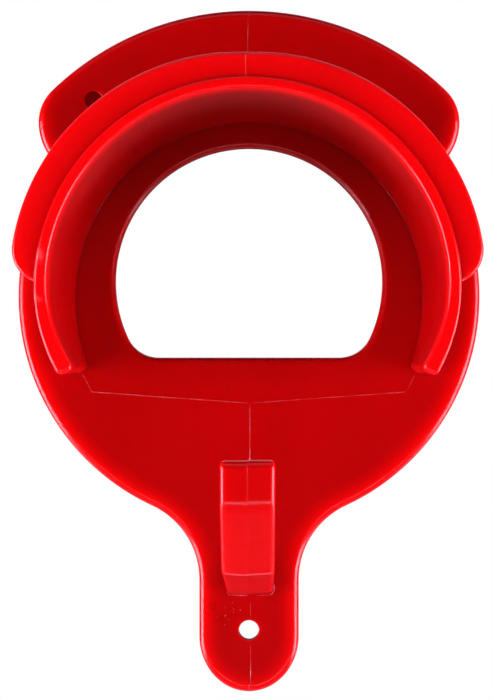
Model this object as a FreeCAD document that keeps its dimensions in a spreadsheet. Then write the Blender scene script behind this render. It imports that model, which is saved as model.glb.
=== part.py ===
"""Wall-mounted bridle rack: one glossy plastic moulding, drawn as its five named regions.

The frame: the origin is the centre of the lower screw hole on the rear face, which lies against the
wall. +Z is up, +X is to the right of someone who faces the rack, and the rack stands out along -Y.
Every region is a solid of its own. They meet face to face, as the moulding's walls do.
"""

import FreeCAD, Part
import math
import os

import Sketcher

# name, value, what it is; lengths in millimetres, angles in degrees
DIMENSIONS = [
    ("plate_thickness", 4.5, "wall plate"),
    ("plate_edge_radius", 2.7, "rounding of the plate's front outline"),
    ("disc_radius", 84.5, "round part of the plate"),
    ("axis_height", 122.0, "height of the disc's centre and of the saddle's axis"),
    ("tab_half_width", 18.2, "screw tab under the disc"),
    ("tab_end_height", -4.5, "centre of the tab's round end"),
    ("tab_blend_radius", 30.0, "hollow curve from the disc to the tab"),
    ("wing_radius", 103.8, "top edge of the wings"),
    ("wing_centre_height", 122.95, "centre of the wings' top edge"),
    ("wing_tip_radius", 16.3, "upper corner of a wing's end"),
    ("wing_heel_radius", 21.0, "lower corner of a wing's end"),
    ("wing_half_width", 77.15, "widest point of the wings"),
    ("wing_notch_radius", 4.0, "hollow corner between a wing and the disc"),
    ("opening_radius", 48.9, "D-shaped opening in the plate"),
    ("opening_centre_height", 127.3, "centre of the opening's arc"),
    ("opening_floor_height", 99.6, "flat lower edge of the opening"),
    ("opening_corner_radius", 12.5, "lower corners of the opening"),
    ("opening_edge_radius", 2.2, "rounding of the opening's front edge"),
    ("tab_hole_radius", 3.65, "lower screw hole"),
    ("wing_hole_radius", 3.2, "upper screw hole"),
    ("wing_hole_offset", 56.8, "upper screw hole, left of the middle"),
    ("wing_hole_height", 193.8, "upper screw hole, above the lower one"),
    ("saddle_root_radius", 63.3, "inner face of the saddle where it leaves the plate"),
    ("saddle_mouth_radius", 65.3, "inner face of the saddle at its front"),
    ("saddle_outer_radius", 69.1, "outer face of the saddle"),
    ("saddle_front", 80.0, "front of the saddle, measured from the wall"),
    ("saddle_angle", 229.0, "how far the saddle reaches round its axis"),
    ("saddle_root_fillet", 1.5, "foot of the saddle's outer face on the plate"),
    ("saddle_rim_inside", 2.0, "rounding of the saddle's front edge, on the inside"),
    ("saddle_rim_outside", 0.95, "the same on the outside, down to the flange"),
    ("saddle_end_radius", 1.4, "rounding of the saddle's two lower ends"),
    ("flange_thickness", 3.5, "retaining flange"),
    ("flange_front", 79.0, "front face of the flange, measured from the wall"),
    ("flange_radius", 74.0, "outer arc of each half of the flange"),
    ("flange_centre_offset", 3.2, "centre of that arc, out from the middle"),
    ("flange_centre_rise", 3.05, "centre of that arc, above the saddle's axis"),
    ("flange_corner_radius", 11.0, "lower corner of each half of the flange"),
    ("flange_corner_offset", 65.4, "centre of that corner, out from the middle"),
    ("flange_edge_radius", 1.3, "rounding of the flange's outer edge"),
    ("hook_width", 17.8, "strap that the hook is made of"),
    ("hook_thickness", 6.0, "the same strap"),
    ("hook_foot_height", 13.2, "underside of the arm where it leaves the plate"),
    ("hook_heel_reach", 61.0, "lower front corner of the arm, from the wall"),
    ("hook_heel_height", 27.4, "the same corner"),
    ("hook_knee_reach", 86.0, "where the tongue turns upright, from the wall"),
    ("hook_knee_height", 52.0, "the same place"),
    ("hook_tip_reach", 87.0, "front of the tongue's tip, from the wall"),
    ("hook_tip_height", 67.4, "top of the tongue"),
    ("hook_edge_radius", 1.8, "rounding along the strap"),
    ("hook_tip_radius", 2.6, "rounding of the tip's front and back edges"),
    ("hook_knee_radius", 9.0, "bend where the tongue turns upright"),
]
SIZE = {name: value for name, value, _ in DIMENSIONS}
NEAR = 0.01  # places closer than this, in millimetres, count as the same place

doc = FreeCAD.newDocument("bridle_rack")
sheet = doc.addObject("Spreadsheet::Sheet", "Sizes")
for row, (name, value, meaning) in enumerate(DIMENSIONS, start=1):
    sheet.set(f"A{row}", meaning)
    sheet.set(f"B{row}", str(value))
    sheet.setAlias(f"B{row}", name)
doc.recompute()


def new_body(label):
    body = doc.addObject("PartDesign::Body", label + "_body")
    body.Label = label
    return body


def origin_plane(body, role):
    return next(f for f in body.Origin.OriginFeatures if f.Role == role)


def new_sketch(body, name, role, offset="0"):
    """An empty sketch on one of the body's own planes, moved along that plane's normal."""
    sketch = body.newObject("Sketcher::SketchObject", name)
    sketch.AttachmentSupport = [(origin_plane(body, role), "")]
    sketch.MapMode = "FlatFace"
    sketch.setExpression("AttachmentOffset.Base.z", offset)
    return sketch


def sheet_value(sketch, constraint_name, constraint, expression):
    """Adds a dimension and binds it to the sheet."""
    sketch.addConstraint(constraint)
    index = sketch.ConstraintCount - 1
    sketch.renameConstraint(index, constraint_name)
    sketch.setExpression(f"Constraints.{constraint_name}", expression)


def point(x, y):
    return FreeCAD.Vector(x, y, 0)


def line(start, end):
    return Part.LineSegment(point(*start), point(*end))


def arc(centre, radius, start_deg, end_deg):
    """Runs anticlockwise from start_deg to end_deg."""
    circle = Part.Circle(point(*centre), FreeCAD.Vector(0, 0, 1), radius)
    return Part.ArcOfCircle(circle, math.radians(start_deg), math.radians(end_deg))


def angle_of(centre, target):
    return math.degrees(math.atan2(target[1] - centre[1], target[0] - centre[0]))


def add_chain(sketch, pieces):
    """Adds a closed chain of (curve, runs forward, smooth join to the next curve)."""
    numbers = [sketch.addGeometry(curve, False) for curve, _, _ in pieces]
    for i, (_, forward, smooth) in enumerate(pieces):
        after = (i + 1) % len(pieces)
        leaving = 2 if forward else 1
        entering = 1 if pieces[after][1] else 2
        kind = "Tangent" if smooth else "Coincident"
        sketch.addConstraint(
            Sketcher.Constraint(kind, numbers[i], leaving, numbers[after], entering)
        )
    return numbers


def pad(body, name, sketch, length, midplane=False):
    feature = body.newObject("PartDesign::Pad", name)
    feature.Profile = sketch
    feature.Midplane = midplane
    feature.setExpression("Length", length)
    doc.recompute()
    return feature


def mirror_left(body, name, features):
    feature = body.newObject("PartDesign::Mirrored", name)
    feature.Originals = features
    feature.MirrorPlane = (origin_plane(body, "YZ_Plane"), [""])
    body.Tip = feature
    doc.recompute()
    return feature


def pocket_through(body, name, sketch):
    """Cuts the sketch through the whole body, and stops if it removed nothing."""
    before = body.Shape.Volume
    feature = body.newObject("PartDesign::Pocket", name)
    feature.Profile = sketch
    feature.Type = "ThroughAll"
    feature.Reversed = True
    doc.recompute()
    assert feature.Shape.Volume < before, name + " cuts nothing"
    return feature


def fillet(body, name, edge_numbers, radius):
    base = body.Tip
    feature = body.newObject("PartDesign::Fillet", name)
    feature.Base = (base, [f"Edge{n}" for n in sorted(edge_numbers)])
    feature.setExpression("Radius", radius)
    body.Tip = feature
    doc.recompute()
    return feature


def face_at(shape, depth):
    """The largest flat face that looks along Y at the given depth in front of the wall."""
    flat = [face for face in shape.Faces if face.BoundBox.YLength < NEAR]
    return max(
        (face for face in flat if abs(face.BoundBox.YMin + depth) < NEAR),
        key=lambda face: face.Area,
    )


def edges_of(shape, wire):
    """The numbers that the shape gives to a wire's edges."""
    numbered = enumerate(shape.Edges, start=1)
    return [number for number, edge in numbered if any(edge.isSame(e) for e in wire.Edges)]


def edges_where(shape, test):
    """Numbers of the edges whose middle point and direction there satisfy the test."""
    found = []
    for number, edge in enumerate(shape.Edges, start=1):
        middle = (edge.FirstParameter + edge.LastParameter) / 2
        if test(edge, edge.valueAt(middle), edge.tangentAt(middle)):
            found.append(number)
    return found


def build_wall_plate():
    """Disc, wings and screw tab in one flat plate, with the D opening and two screw holes."""
    body = new_body("wall_plate")
    outline = new_sketch(body, "plate_half", "XZ_Plane")
    disc = (0, SIZE["axis_height"])
    tab = (0, SIZE["tab_end_height"])
    wing = (0, SIZE["wing_centre_height"])

    blend_x = SIZE["tab_half_width"] + SIZE["tab_blend_radius"]
    blend_reach = SIZE["disc_radius"] + SIZE["tab_blend_radius"]
    blend = (blend_x, disc[1] - math.sqrt(blend_reach**2 - blend_x**2))
    tip_x = SIZE["wing_half_width"] - SIZE["wing_tip_radius"]
    tip_reach = SIZE["wing_radius"] - SIZE["wing_tip_radius"]
    tip = (tip_x, wing[1] + math.sqrt(tip_reach**2 - tip_x**2))
    heel = (SIZE["wing_half_width"] - SIZE["wing_heel_radius"], tip[1])
    # the notch arc touches the disc and the wing's heel from outside both
    to_disc = SIZE["disc_radius"] + SIZE["wing_notch_radius"]
    to_heel = SIZE["wing_heel_radius"] + SIZE["wing_notch_radius"]
    apart = math.hypot(heel[0] - disc[0], heel[1] - disc[1])
    along = (apart**2 + to_disc**2 - to_heel**2) / (2 * apart)
    swing = math.degrees(math.acos(along / to_disc))
    notch_angle = math.radians(angle_of(disc, heel) - swing)
    notch = (
        disc[0] + to_disc * math.cos(notch_angle),
        disc[1] + to_disc * math.sin(notch_angle),
    )

    bottom = tab[1] - SIZE["tab_half_width"]
    top = wing[1] + SIZE["wing_radius"]
    side = SIZE["tab_half_width"]
    chain = [
        (arc(tab, side, -90, 0), True, True),
        (line((side, tab[1]), (side, blend[1])), True, True),
        (
            arc(blend, SIZE["tab_blend_radius"], angle_of(blend, disc), 180),
            False,
            True,
        ),
        (
            arc(disc, SIZE["disc_radius"], angle_of(disc, blend), angle_of(disc, notch)),
            True,
            True,
        ),
        (
            arc(
                notch,
                SIZE["wing_notch_radius"],
                angle_of(notch, heel),
                angle_of(notch, disc) + 360,
            ),
            False,
            True,
        ),
        (arc(heel, SIZE["wing_heel_radius"], angle_of(heel, notch), 0), True, True),
        (arc(tip, SIZE["wing_tip_radius"], 0, angle_of(wing, tip)), True, True),
        (arc(wing, SIZE["wing_radius"], angle_of(wing, tip), 90), True, False),
        (line((0, top), (0, bottom)), True, False),
    ]
    numbers = add_chain(outline, chain)
    tab_arc, tab_side, blend_arc, disc_arc, notch_arc = numbers[:5]
    heel_arc, tip_arc, wing_arc, middle = numbers[5:]
    outline.addConstraint(
        [
            Sketcher.Constraint("PointOnObject", tab_arc, 3, -2),
            Sketcher.Constraint("PointOnObject", disc_arc, 3, -2),
            Sketcher.Constraint("PointOnObject", wing_arc, 3, -2),
            Sketcher.Constraint("PointOnObject", middle, 1, -2),
            Sketcher.Constraint("PointOnObject", middle, 2, -2),
            Sketcher.Constraint("Vertical", tab_side),
            Sketcher.Constraint("Horizontal", heel_arc, 3, tip_arc, 3),
        ]
    )
    for number, name, expression in (
        (tab_arc, "tab_radius", "tab_half_width"),
        (blend_arc, "blend_radius", "tab_blend_radius"),
        (disc_arc, "disc_radius", "disc_radius"),
        (notch_arc, "notch_radius", "wing_notch_radius"),
        (heel_arc, "heel_radius", "wing_heel_radius"),
        (tip_arc, "tip_radius", "wing_tip_radius"),
        (wing_arc, "wing_radius", "wing_radius"),
    ):
        radius = Sketcher.Constraint("Radius", number, SIZE[expression])
        sheet_value(outline, name, radius, "Sizes." + expression)
    for number, name, expression in (
        (tab_arc, "tab_height", "tab_end_height"),
        (disc_arc, "disc_height", "axis_height"),
        (wing_arc, "wing_height", "wing_centre_height"),
    ):
        height = Sketcher.Constraint("DistanceY", number, 3, SIZE[expression])
        sheet_value(outline, name, height, "Sizes." + expression)
    reach = Sketcher.Constraint("DistanceX", tip_arc, 3, tip[0])
    sheet_value(outline, "tip_x", reach, "Sizes.wing_half_width - Sizes.wing_tip_radius")

    half = pad(body, "plate_pad", outline, "Sizes.plate_thickness")
    mirror_left(body, "plate_mirror", [half])

    opening = new_sketch(body, "opening_outline", "XZ_Plane")
    centre = (0, SIZE["opening_centre_height"])
    floor = SIZE["opening_floor_height"]
    corner_r = SIZE["opening_corner_radius"]
    corner_reach = SIZE["opening_radius"] - corner_r
    corner_x = math.sqrt(corner_reach**2 - (floor + corner_r - centre[1]) ** 2)
    corner = (corner_x, floor + corner_r)
    low = angle_of(centre, corner)
    left_corner = (-corner_x, corner[1])
    d_arc, left, _, right = add_chain(
        opening,
        [
            (arc(centre, SIZE["opening_radius"], low, 180 - low), True, True),
            (arc(left_corner, corner_r, 180 - low, 270), True, True),
            (line((-corner_x, floor), (corner_x, floor)), True, True),
            (arc(corner, corner_r, -90, low), True, True),
        ],
    )
    opening.addConstraint(
        [
            Sketcher.Constraint("PointOnObject", d_arc, 3, -2),
            Sketcher.Constraint("Symmetric", left, 3, right, 3, -2),
        ]
    )
    radius = Sketcher.Constraint("Radius", d_arc, SIZE["opening_radius"])
    sheet_value(opening, "arc_radius", radius, "Sizes.opening_radius")
    radius = Sketcher.Constraint("Radius", right, corner_r)
    sheet_value(opening, "corner_radius", radius, "Sizes.opening_corner_radius")
    height = Sketcher.Constraint("DistanceY", d_arc, 3, centre[1])
    sheet_value(opening, "arc_height", height, "Sizes.opening_centre_height")
    height = Sketcher.Constraint("DistanceY", right, 3, corner[1])
    corner_height = "Sizes.opening_floor_height + Sizes.opening_corner_radius"
    sheet_value(opening, "corner_height", height, corner_height)
    pocket_through(body, "opening_cut", opening)

    holes = new_sketch(body, "screw_holes", "XZ_Plane")
    normal = FreeCAD.Vector(0, 0, 1)
    wing_hole = point(-SIZE["wing_hole_offset"], SIZE["wing_hole_height"])
    low_hole = holes.addGeometry(Part.Circle(point(0, 0), normal, SIZE["tab_hole_radius"]))
    high_hole = holes.addGeometry(Part.Circle(wing_hole, normal, SIZE["wing_hole_radius"]))
    holes.addConstraint(Sketcher.Constraint("Coincident", low_hole, 3, -1, 1))
    radius = Sketcher.Constraint("Radius", low_hole, SIZE["tab_hole_radius"])
    sheet_value(holes, "tab_hole_radius", radius, "Sizes.tab_hole_radius")
    radius = Sketcher.Constraint("Radius", high_hole, SIZE["wing_hole_radius"])
    sheet_value(holes, "wing_hole_radius", radius, "Sizes.wing_hole_radius")
    offset = Sketcher.Constraint("DistanceX", high_hole, 3, -1, 1, SIZE["wing_hole_offset"])
    sheet_value(holes, "wing_hole_offset", offset, "Sizes.wing_hole_offset")
    height = Sketcher.Constraint("DistanceY", -1, 1, high_hole, 3, SIZE["wing_hole_height"])
    sheet_value(holes, "wing_hole_height", height, "Sizes.wing_hole_height")
    pocket_through(body, "screw_hole_cut", holes)

    front = face_at(body.Shape, SIZE["plate_thickness"])
    opening_wire = max(front.Wires[1:], key=lambda wire: wire.Length)
    fillet(body, "opening_edge", edges_of(body.Shape, opening_wire), "Sizes.opening_edge_radius")
    front = face_at(body.Shape, SIZE["plate_thickness"])
    fillet(body, "plate_edge", edges_of(body.Shape, front.OuterWire), "Sizes.plate_edge_radius")
    return body


def build_saddle_arch():
    """The arched shell that the bridle's headpiece lies over, open at the bottom."""
    body = new_body("saddle_arch")
    body.setExpression("Placement.Base.z", "Sizes.axis_height")
    profile = new_sketch(body, "saddle_section", "YZ_Plane")
    plate = -SIZE["plate_thickness"]
    front = -SIZE["saddle_front"]
    foot = SIZE["saddle_root_fillet"]
    outer = SIZE["saddle_outer_radius"]
    inner_line, front_line, outer_line, foot_arc, root_line = add_chain(
        profile,
        [
            (
                line((plate, SIZE["saddle_root_radius"]), (front, SIZE["saddle_mouth_radius"])),
                True,
                False,
            ),
            (line((front, SIZE["saddle_mouth_radius"]), (front, outer)), True, False),
            (line((front, outer), (plate - foot, outer)), True, True),
            (arc((plate - foot, outer + foot), foot, -90, 0), True, False),
            (line((plate, outer + foot), (plate, SIZE["saddle_root_radius"])), True, False),
        ],
    )
    profile.addConstraint(
        [
            Sketcher.Constraint("Vertical", front_line),
            Sketcher.Constraint("Horizontal", outer_line),
            Sketcher.Constraint("Vertical", root_line),
            Sketcher.Constraint("Horizontal", foot_arc, 3, foot_arc, 2),
        ]
    )
    radius = Sketcher.Constraint("Radius", foot_arc, foot)
    sheet_value(profile, "foot", radius, "Sizes.saddle_root_fillet")
    for name, number, end, value, expression in (
        ("root_radius", inner_line, 1, SIZE["saddle_root_radius"], "Sizes.saddle_root_radius"),
        ("mouth_radius", inner_line, 2, SIZE["saddle_mouth_radius"], "Sizes.saddle_mouth_radius"),
        ("outer_radius", outer_line, 1, outer, "Sizes.saddle_outer_radius"),
    ):
        height = Sketcher.Constraint("DistanceY", number, end, value)
        sheet_value(profile, name, height, expression)
    depth = Sketcher.Constraint("DistanceX", inner_line, 2, -1, 1, SIZE["saddle_front"])
    sheet_value(profile, "front", depth, "Sizes.saddle_front")
    depth = Sketcher.Constraint("DistanceX", inner_line, 1, -1, 1, SIZE["plate_thickness"])
    sheet_value(profile, "plate", depth, "Sizes.plate_thickness")

    shell = body.newObject("PartDesign::Revolution", "saddle_shell")
    shell.Profile = profile
    shell.ReferenceAxis = (profile, ["H_Axis"])
    shell.Midplane = True
    shell.setExpression("Angle", "Sizes.saddle_angle")
    doc.recompute()

    # edges are in the body's own frame, which has the saddle's axis at z = 0
    def rim_edge(radius):
        return lambda edge, at, way: abs(at.y - front) < NEAR and abs(at.z - radius) < NEAR

    inside = edges_where(body.Tip.Shape, rim_edge(SIZE["saddle_mouth_radius"]))
    fillet(body, "saddle_rim_in", inside, "Sizes.saddle_rim_inside")
    outside = edges_where(body.Tip.Shape, rim_edge(outer))
    fillet(body, "saddle_rim_out", outside, "Sizes.saddle_rim_outside")

    def along_end(edge, at, way):
        runs_forward = abs(way.y) > abs(way.x) + abs(way.z)
        return at.z < 0 and runs_forward and edge.Length > SIZE["saddle_front"] / 2

    ends = edges_where(body.Tip.Shape, along_end)
    fillet(body, "saddle_ends", ends, "Sizes.saddle_end_radius")
    return body


def build_retaining_flange():
    """The raised lip round the saddle's front, which keeps the bridle from sliding off."""
    body = new_body("retaining_flange")
    body.setExpression("Placement.Base.z", "Sizes.axis_height")
    outline = new_sketch(
        body, "flange_half", "XZ_Plane", "Sizes.flange_front - Sizes.flange_thickness"
    )
    inner = SIZE["saddle_outer_radius"]
    main = (SIZE["flange_centre_offset"], SIZE["flange_centre_rise"])
    corner_reach = SIZE["flange_radius"] - SIZE["flange_corner_radius"]
    corner_x = SIZE["flange_corner_offset"]
    corner_y = main[1] + math.sqrt(corner_reach**2 - (corner_x - main[0]) ** 2)
    corner = (corner_x, corner_y)
    # where the corner's circle runs into the saddle's outer face
    apart = math.hypot(*corner)
    along = (apart**2 + inner**2 - SIZE["flange_corner_radius"] ** 2) / (2 * apart)
    swing = math.acos(along / inner)
    meet_angle = math.atan2(corner[1], corner[0]) - swing
    meet = (inner * math.cos(meet_angle), inner * math.sin(meet_angle))
    top = main[1] + math.sqrt(SIZE["flange_radius"] ** 2 - main[0] ** 2)
    corner_arc, main_arc, middle, inner_arc = add_chain(
        outline,
        [
            (
                arc(
                    corner,
                    SIZE["flange_corner_radius"],
                    angle_of(corner, meet),
                    angle_of(main, corner),
                ),
                True,
                True,
            ),
            (
                arc(main, SIZE["flange_radius"], angle_of(main, corner), angle_of(main, (0, top))),
                True,
                False,
            ),
            (line((0, top), (0, inner)), True, False),
            (arc((0, 0), inner, math.degrees(meet_angle), 90), False, False),
        ],
    )
    outline.addConstraint(
        [
            Sketcher.Constraint("Coincident", inner_arc, 3, -1, 1),
            Sketcher.Constraint("PointOnObject", middle, 1, -2),
            Sketcher.Constraint("PointOnObject", middle, 2, -2),
        ]
    )
    for number, name, expression in (
        (inner_arc, "inner_radius", "saddle_outer_radius"),
        (main_arc, "main_radius", "flange_radius"),
        (corner_arc, "corner_radius", "flange_corner_radius"),
    ):
        radius = Sketcher.Constraint("Radius", number, SIZE[expression])
        sheet_value(outline, name, radius, "Sizes." + expression)
    for number, direction, name, expression in (
        (main_arc, "DistanceX", "main_offset", "flange_centre_offset"),
        (main_arc, "DistanceY", "main_rise", "flange_centre_rise"),
        (corner_arc, "DistanceX", "corner_offset", "flange_corner_offset"),
    ):
        place = Sketcher.Constraint(direction, number, 3, SIZE[expression])
        sheet_value(outline, name, place, "Sizes." + expression)
    half = pad(body, "flange_pad", outline, "Sizes.flange_thickness")
    mirror_left(body, "flange_mirror", [half])

    def outer_edge(edge, at, way):
        return math.hypot(at.x, at.z) > inner + NEAR and abs(way.y) < NEAR

    rim = edges_where(body.Tip.Shape, outer_edge)
    fillet(body, "flange_edge", rim, "Sizes.flange_edge_radius")
    return body


def offset_point(start, corner, end, distance):
    """The corner of a path of two runs, moved to the left of both by the distance."""
    first = math.atan2(corner[1] - start[1], corner[0] - start[0])
    second = math.atan2(end[1] - corner[1], end[0] - corner[0])
    half_turn = (second - first) / 2
    towards = first + half_turn + math.pi / 2
    reach = distance / math.cos(half_turn)
    return (corner[0] + reach * math.cos(towards), corner[1] + reach * math.sin(towards))


def hook_lines():
    """Front-and-lower line of the hook's strap, and the line inside it, as (reach, height)."""
    plate = SIZE["plate_thickness"]
    thick = SIZE["hook_thickness"]
    foot = (plate, SIZE["hook_foot_height"])
    heel = (SIZE["hook_heel_reach"], SIZE["hook_heel_height"])
    knee = (SIZE["hook_knee_reach"], SIZE["hook_knee_height"])
    tip = (SIZE["hook_tip_reach"], SIZE["hook_tip_height"])
    slope = math.atan2(heel[1] - foot[1], heel[0] - foot[0])
    outer = [foot, heel, knee, tip]
    inner = [
        (plate, foot[1] + thick / math.cos(slope)),
        offset_point(foot, heel, knee, thick),
        offset_point(heel, knee, tip, thick),
        (tip[0] - thick, tip[1]),
    ]
    return outer, inner


def hook_piece(label, corners, beyond_heel, bound):
    """Pads a side view of the strap, given as (reach from the wall, height) corners, to its width.

    beyond_heel is where the strap's outer line goes from the heel, past this piece: the piece's
    inner heel corner lies one thickness from that run and from its own. bound gives the sheet's
    names for the corners on the outer line. Returns the body, its sketch and the lines' numbers.
    """
    body = new_body(label)
    side = new_sketch(body, label + "_side", "YZ_Plane")
    places = [(-reach, height) for reach, height in corners]
    runs = list(zip(places, places[1:] + places[:1]))
    numbers = add_chain(side, [(line(start, end), True, False) for start, end in runs])
    heel = corners.index((SIZE["hook_heel_reach"], SIZE["hook_heel_height"]))
    guide_end = (-SIZE[beyond_heel[0]], SIZE[beyond_heel[1]])
    guide = side.addGeometry(line(places[heel], guide_end), True)
    side.addConstraint(Sketcher.Constraint("Coincident", guide, 1, numbers[heel], 1))
    ends = [(guide, 2, beyond_heel)] + [(numbers[i], 1, pair) for i, pair in bound.items()]
    for number, end, (reach, height) in ends:
        away = Sketcher.Constraint("DistanceX", number, end, -1, 1, SIZE[reach])
        sheet_value(side, f"reach_{number}", away, "Sizes." + reach)
        rise = Sketcher.Constraint("DistanceY", -1, 1, number, end, SIZE[height])
        sheet_value(side, f"height_{number}", rise, "Sizes." + height)
    return body, side, numbers, guide


def one_thickness_from(sketch, corner, runs):
    """Holds the corner that starts a line one strap thickness away from two runs."""
    for run in runs:
        gap = Sketcher.Constraint("Distance", corner, 1, run, SIZE["hook_thickness"])
        sheet_value(sketch, f"gap_{corner}_{run}", gap, "Sizes.hook_thickness")


def along_strap(edge, at, way):
    """True for the edges that run along the strap's two sides."""
    return abs(abs(at.x) - SIZE["hook_width"] / 2) < NEAR and abs(way.x) < NEAR


def build_hook_arm():
    """The strap from the plate out to the heel of the hook."""
    outer, inner = hook_lines()
    corners = [outer[0], outer[1], inner[1], inner[0]]
    body, side, numbers, guide = hook_piece(
        "hook_arm",
        corners,
        ("hook_knee_reach", "hook_knee_height"),
        {
            0: ("plate_thickness", "hook_foot_height"),
            1: ("hook_heel_reach", "hook_heel_height"),
        },
    )
    lower, _, upper, at_plate = numbers
    one_thickness_from(side, upper, (lower, guide))
    side.addConstraint(Sketcher.Constraint("Parallel", upper, lower))
    side.addConstraint(Sketcher.Constraint("Vertical", at_plate))
    pad(body, "arm_pad", side, "Sizes.hook_width", midplane=True)

    def long_edge(edge, at, way):
        return along_strap(edge, at, way) and edge.Length > SIZE["hook_heel_reach"] / 2

    fillet(body, "arm_edges", edges_where(body.Shape, long_edge), "Sizes.hook_edge_radius")
    return body


def build_hook_tongue():
    """The strap from the heel up to the hook's tip."""
    outer, inner = hook_lines()
    corners = [outer[1], outer[2], outer[3], inner[3], inner[2], inner[1]]
    body, side, numbers, guide = hook_piece(
        "hook_tongue",
        corners,
        ("plate_thickness", "hook_foot_height"),
        {
            0: ("hook_heel_reach", "hook_heel_height"),
            1: ("hook_knee_reach", "hook_knee_height"),
            2: ("hook_tip_reach", "hook_tip_height"),
        },
    )
    slope, upright, tip, back, inner_slope, heel_cut = numbers
    side.addConstraint(Sketcher.Constraint("Horizontal", tip))
    tip_back = Sketcher.Constraint("DistanceX", upright, 2, tip, 2, SIZE["hook_thickness"])
    sheet_value(side, "tip_thickness", tip_back, "Sizes.hook_thickness")
    one_thickness_from(side, inner_slope, (slope, upright))
    one_thickness_from(side, heel_cut, (slope, guide))
    pad(body, "tongue_pad", side, "Sizes.hook_width", midplane=True)

    def crosswise_at(*places):
        def test(edge, at, way):
            apart = min(math.hypot(-at.y - reach, at.z - height) for reach, height in places)
            return apart < NEAR and abs(way.y) + abs(way.z) < NEAR

        return edges_where(body.Tip.Shape, test)

    bend_inside = "Sizes.hook_knee_radius - Sizes.hook_thickness"
    fillet(body, "knee_front", crosswise_at(outer[2]), "Sizes.hook_knee_radius")
    fillet(body, "knee_back", crosswise_at(inner[2]), bend_inside)
    fillet(body, "tip_round", crosswise_at(outer[3], inner[3]), "Sizes.hook_tip_radius")

    heel_middle = ((outer[1][0] + inner[1][0]) / 2, (outer[1][1] + inner[1][1]) / 2)

    def long_edge(edge, at, way):
        from_heel = math.hypot(-at.y - heel_middle[0], at.z - heel_middle[1])
        return along_strap(edge, at, way) and from_heel > NEAR

    fillet(body, "tongue_edges", edges_where(body.Tip.Shape, long_edge), "Sizes.hook_edge_radius")
    return body


def check_document(bodies):
    for item in doc.Objects:
        bad = [word for word in item.State if word in ("Invalid", "Error")]
        assert not bad, f"{item.Name}: {item.State}"
        if item.TypeId == "Sketcher::SketchObject":
            print(f"{item.Name}: fully constrained {item.FullyConstrained}")
    for body in bodies:
        shape = body.Shape
        assert not shape.isNull() and shape.isValid(), body.Label
        assert len(shape.Solids) == 1, f"{body.Label}: {len(shape.Solids)} solids"
        box = shape.BoundBox
        print(
            f"{body.Label}: {shape.Volume:.0f} mm3, x {box.XMin:.2f} {box.XMax:.2f},"
            f" y {box.YMin:.2f} {box.YMax:.2f}, z {box.ZMin:.2f} {box.ZMax:.2f}"
        )


bodies = [
    build_wall_plate(),
    build_saddle_arch(),
    build_retaining_flange(),
    build_hook_arm(),
    build_hook_tongue(),
]
doc.recompute()
check_document(bodies)
os.makedirs("parts", exist_ok=True)
for body in bodies:
    body.Shape.exportStep(f"parts/{body.Label}.step")
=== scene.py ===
import math
import random

import bmesh
import bpy
import numpy as np
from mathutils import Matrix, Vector
from mathutils.geometry import delaunay_2d_cdt


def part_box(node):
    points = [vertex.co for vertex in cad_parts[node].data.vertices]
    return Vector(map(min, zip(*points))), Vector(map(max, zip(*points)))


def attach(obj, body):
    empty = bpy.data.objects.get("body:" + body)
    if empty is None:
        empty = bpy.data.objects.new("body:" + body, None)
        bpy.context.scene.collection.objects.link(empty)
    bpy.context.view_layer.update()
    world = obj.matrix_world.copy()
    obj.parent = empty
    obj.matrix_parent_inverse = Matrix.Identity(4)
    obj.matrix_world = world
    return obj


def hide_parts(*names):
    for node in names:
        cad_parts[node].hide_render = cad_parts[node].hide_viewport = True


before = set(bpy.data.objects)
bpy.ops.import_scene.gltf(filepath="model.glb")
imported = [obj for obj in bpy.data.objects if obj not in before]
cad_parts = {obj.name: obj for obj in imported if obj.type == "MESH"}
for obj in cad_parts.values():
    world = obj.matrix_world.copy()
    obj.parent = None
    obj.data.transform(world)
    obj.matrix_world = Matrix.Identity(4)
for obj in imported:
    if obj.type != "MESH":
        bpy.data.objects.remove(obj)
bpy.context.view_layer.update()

MM = 0.001  # one millimetre in the frame's metres

# ---------------------------------------------------------------------------------------------
# Sizes, in millimetres and degrees. The first block comes from the frame; "depth" is measured
# from the wall towards the viewer, so it is -Y.


def box_mm(node):
    low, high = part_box(node)
    return [value / MM for value in low], [value / MM for value in high]


PLATE_LOW, PLATE_HIGH = box_mm("wall_plate")
SADDLE_LOW, SADDLE_HIGH = box_mm("saddle_arch")
FLANGE_LOW, FLANGE_HIGH = box_mm("retaining_flange")
TONGUE_LOW, TONGUE_HIGH = box_mm("hook_tongue")
ARM_LOW, _ = box_mm("hook_arm")

PLATE_THICKNESS = -PLATE_LOW[1]
DISC_RADIUS = PLATE_HIGH[0]
ROOT_FILLET = 1.5  # foot of the saddle's outer face, which its box takes in
SADDLE_OUTER = SADDLE_HIGH[0] - ROOT_FILLET
SADDLE_FRONT = -SADDLE_LOW[1]
FLANGE_FRONT = -FLANGE_LOW[1]
FLANGE_BACK = -FLANGE_HIGH[1]
AXIS_HEIGHT = SADDLE_HIGH[2] - SADDLE_HIGH[0]  # of the axis that disc and saddle share
HOOK_WIDTH = TONGUE_HIGH[0] - TONGUE_LOW[0]
HOOK_TIP = (-TONGUE_LOW[1], TONGUE_HIGH[2])
HOOK_FOOT_HEIGHT = ARM_LOW[2]

TAB_HALF = 18.2
TAB_END = PLATE_LOW[2] + TAB_HALF  # centre of a half circle that would end the tab
TAB_BLEND = 30.0  # hollow curve from the disc to the tab
TAB_STRETCH = 1.11  # how much longer than a half circle the tab's end is
WING_CENTRE = 122.95
WING_RADIUS = PLATE_HIGH[2] - WING_CENTRE
WING_TIP = 16.3  # upper corner of a wing's end
WING_HEEL = 21.0  # lower corner of a wing's end
WING_HALF = 77.15
WING_NOTCH = 4.0  # hollow corner between a wing and the disc
PLATE_EDGE = 2.7
REAR_EDGE = 0.35

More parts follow.
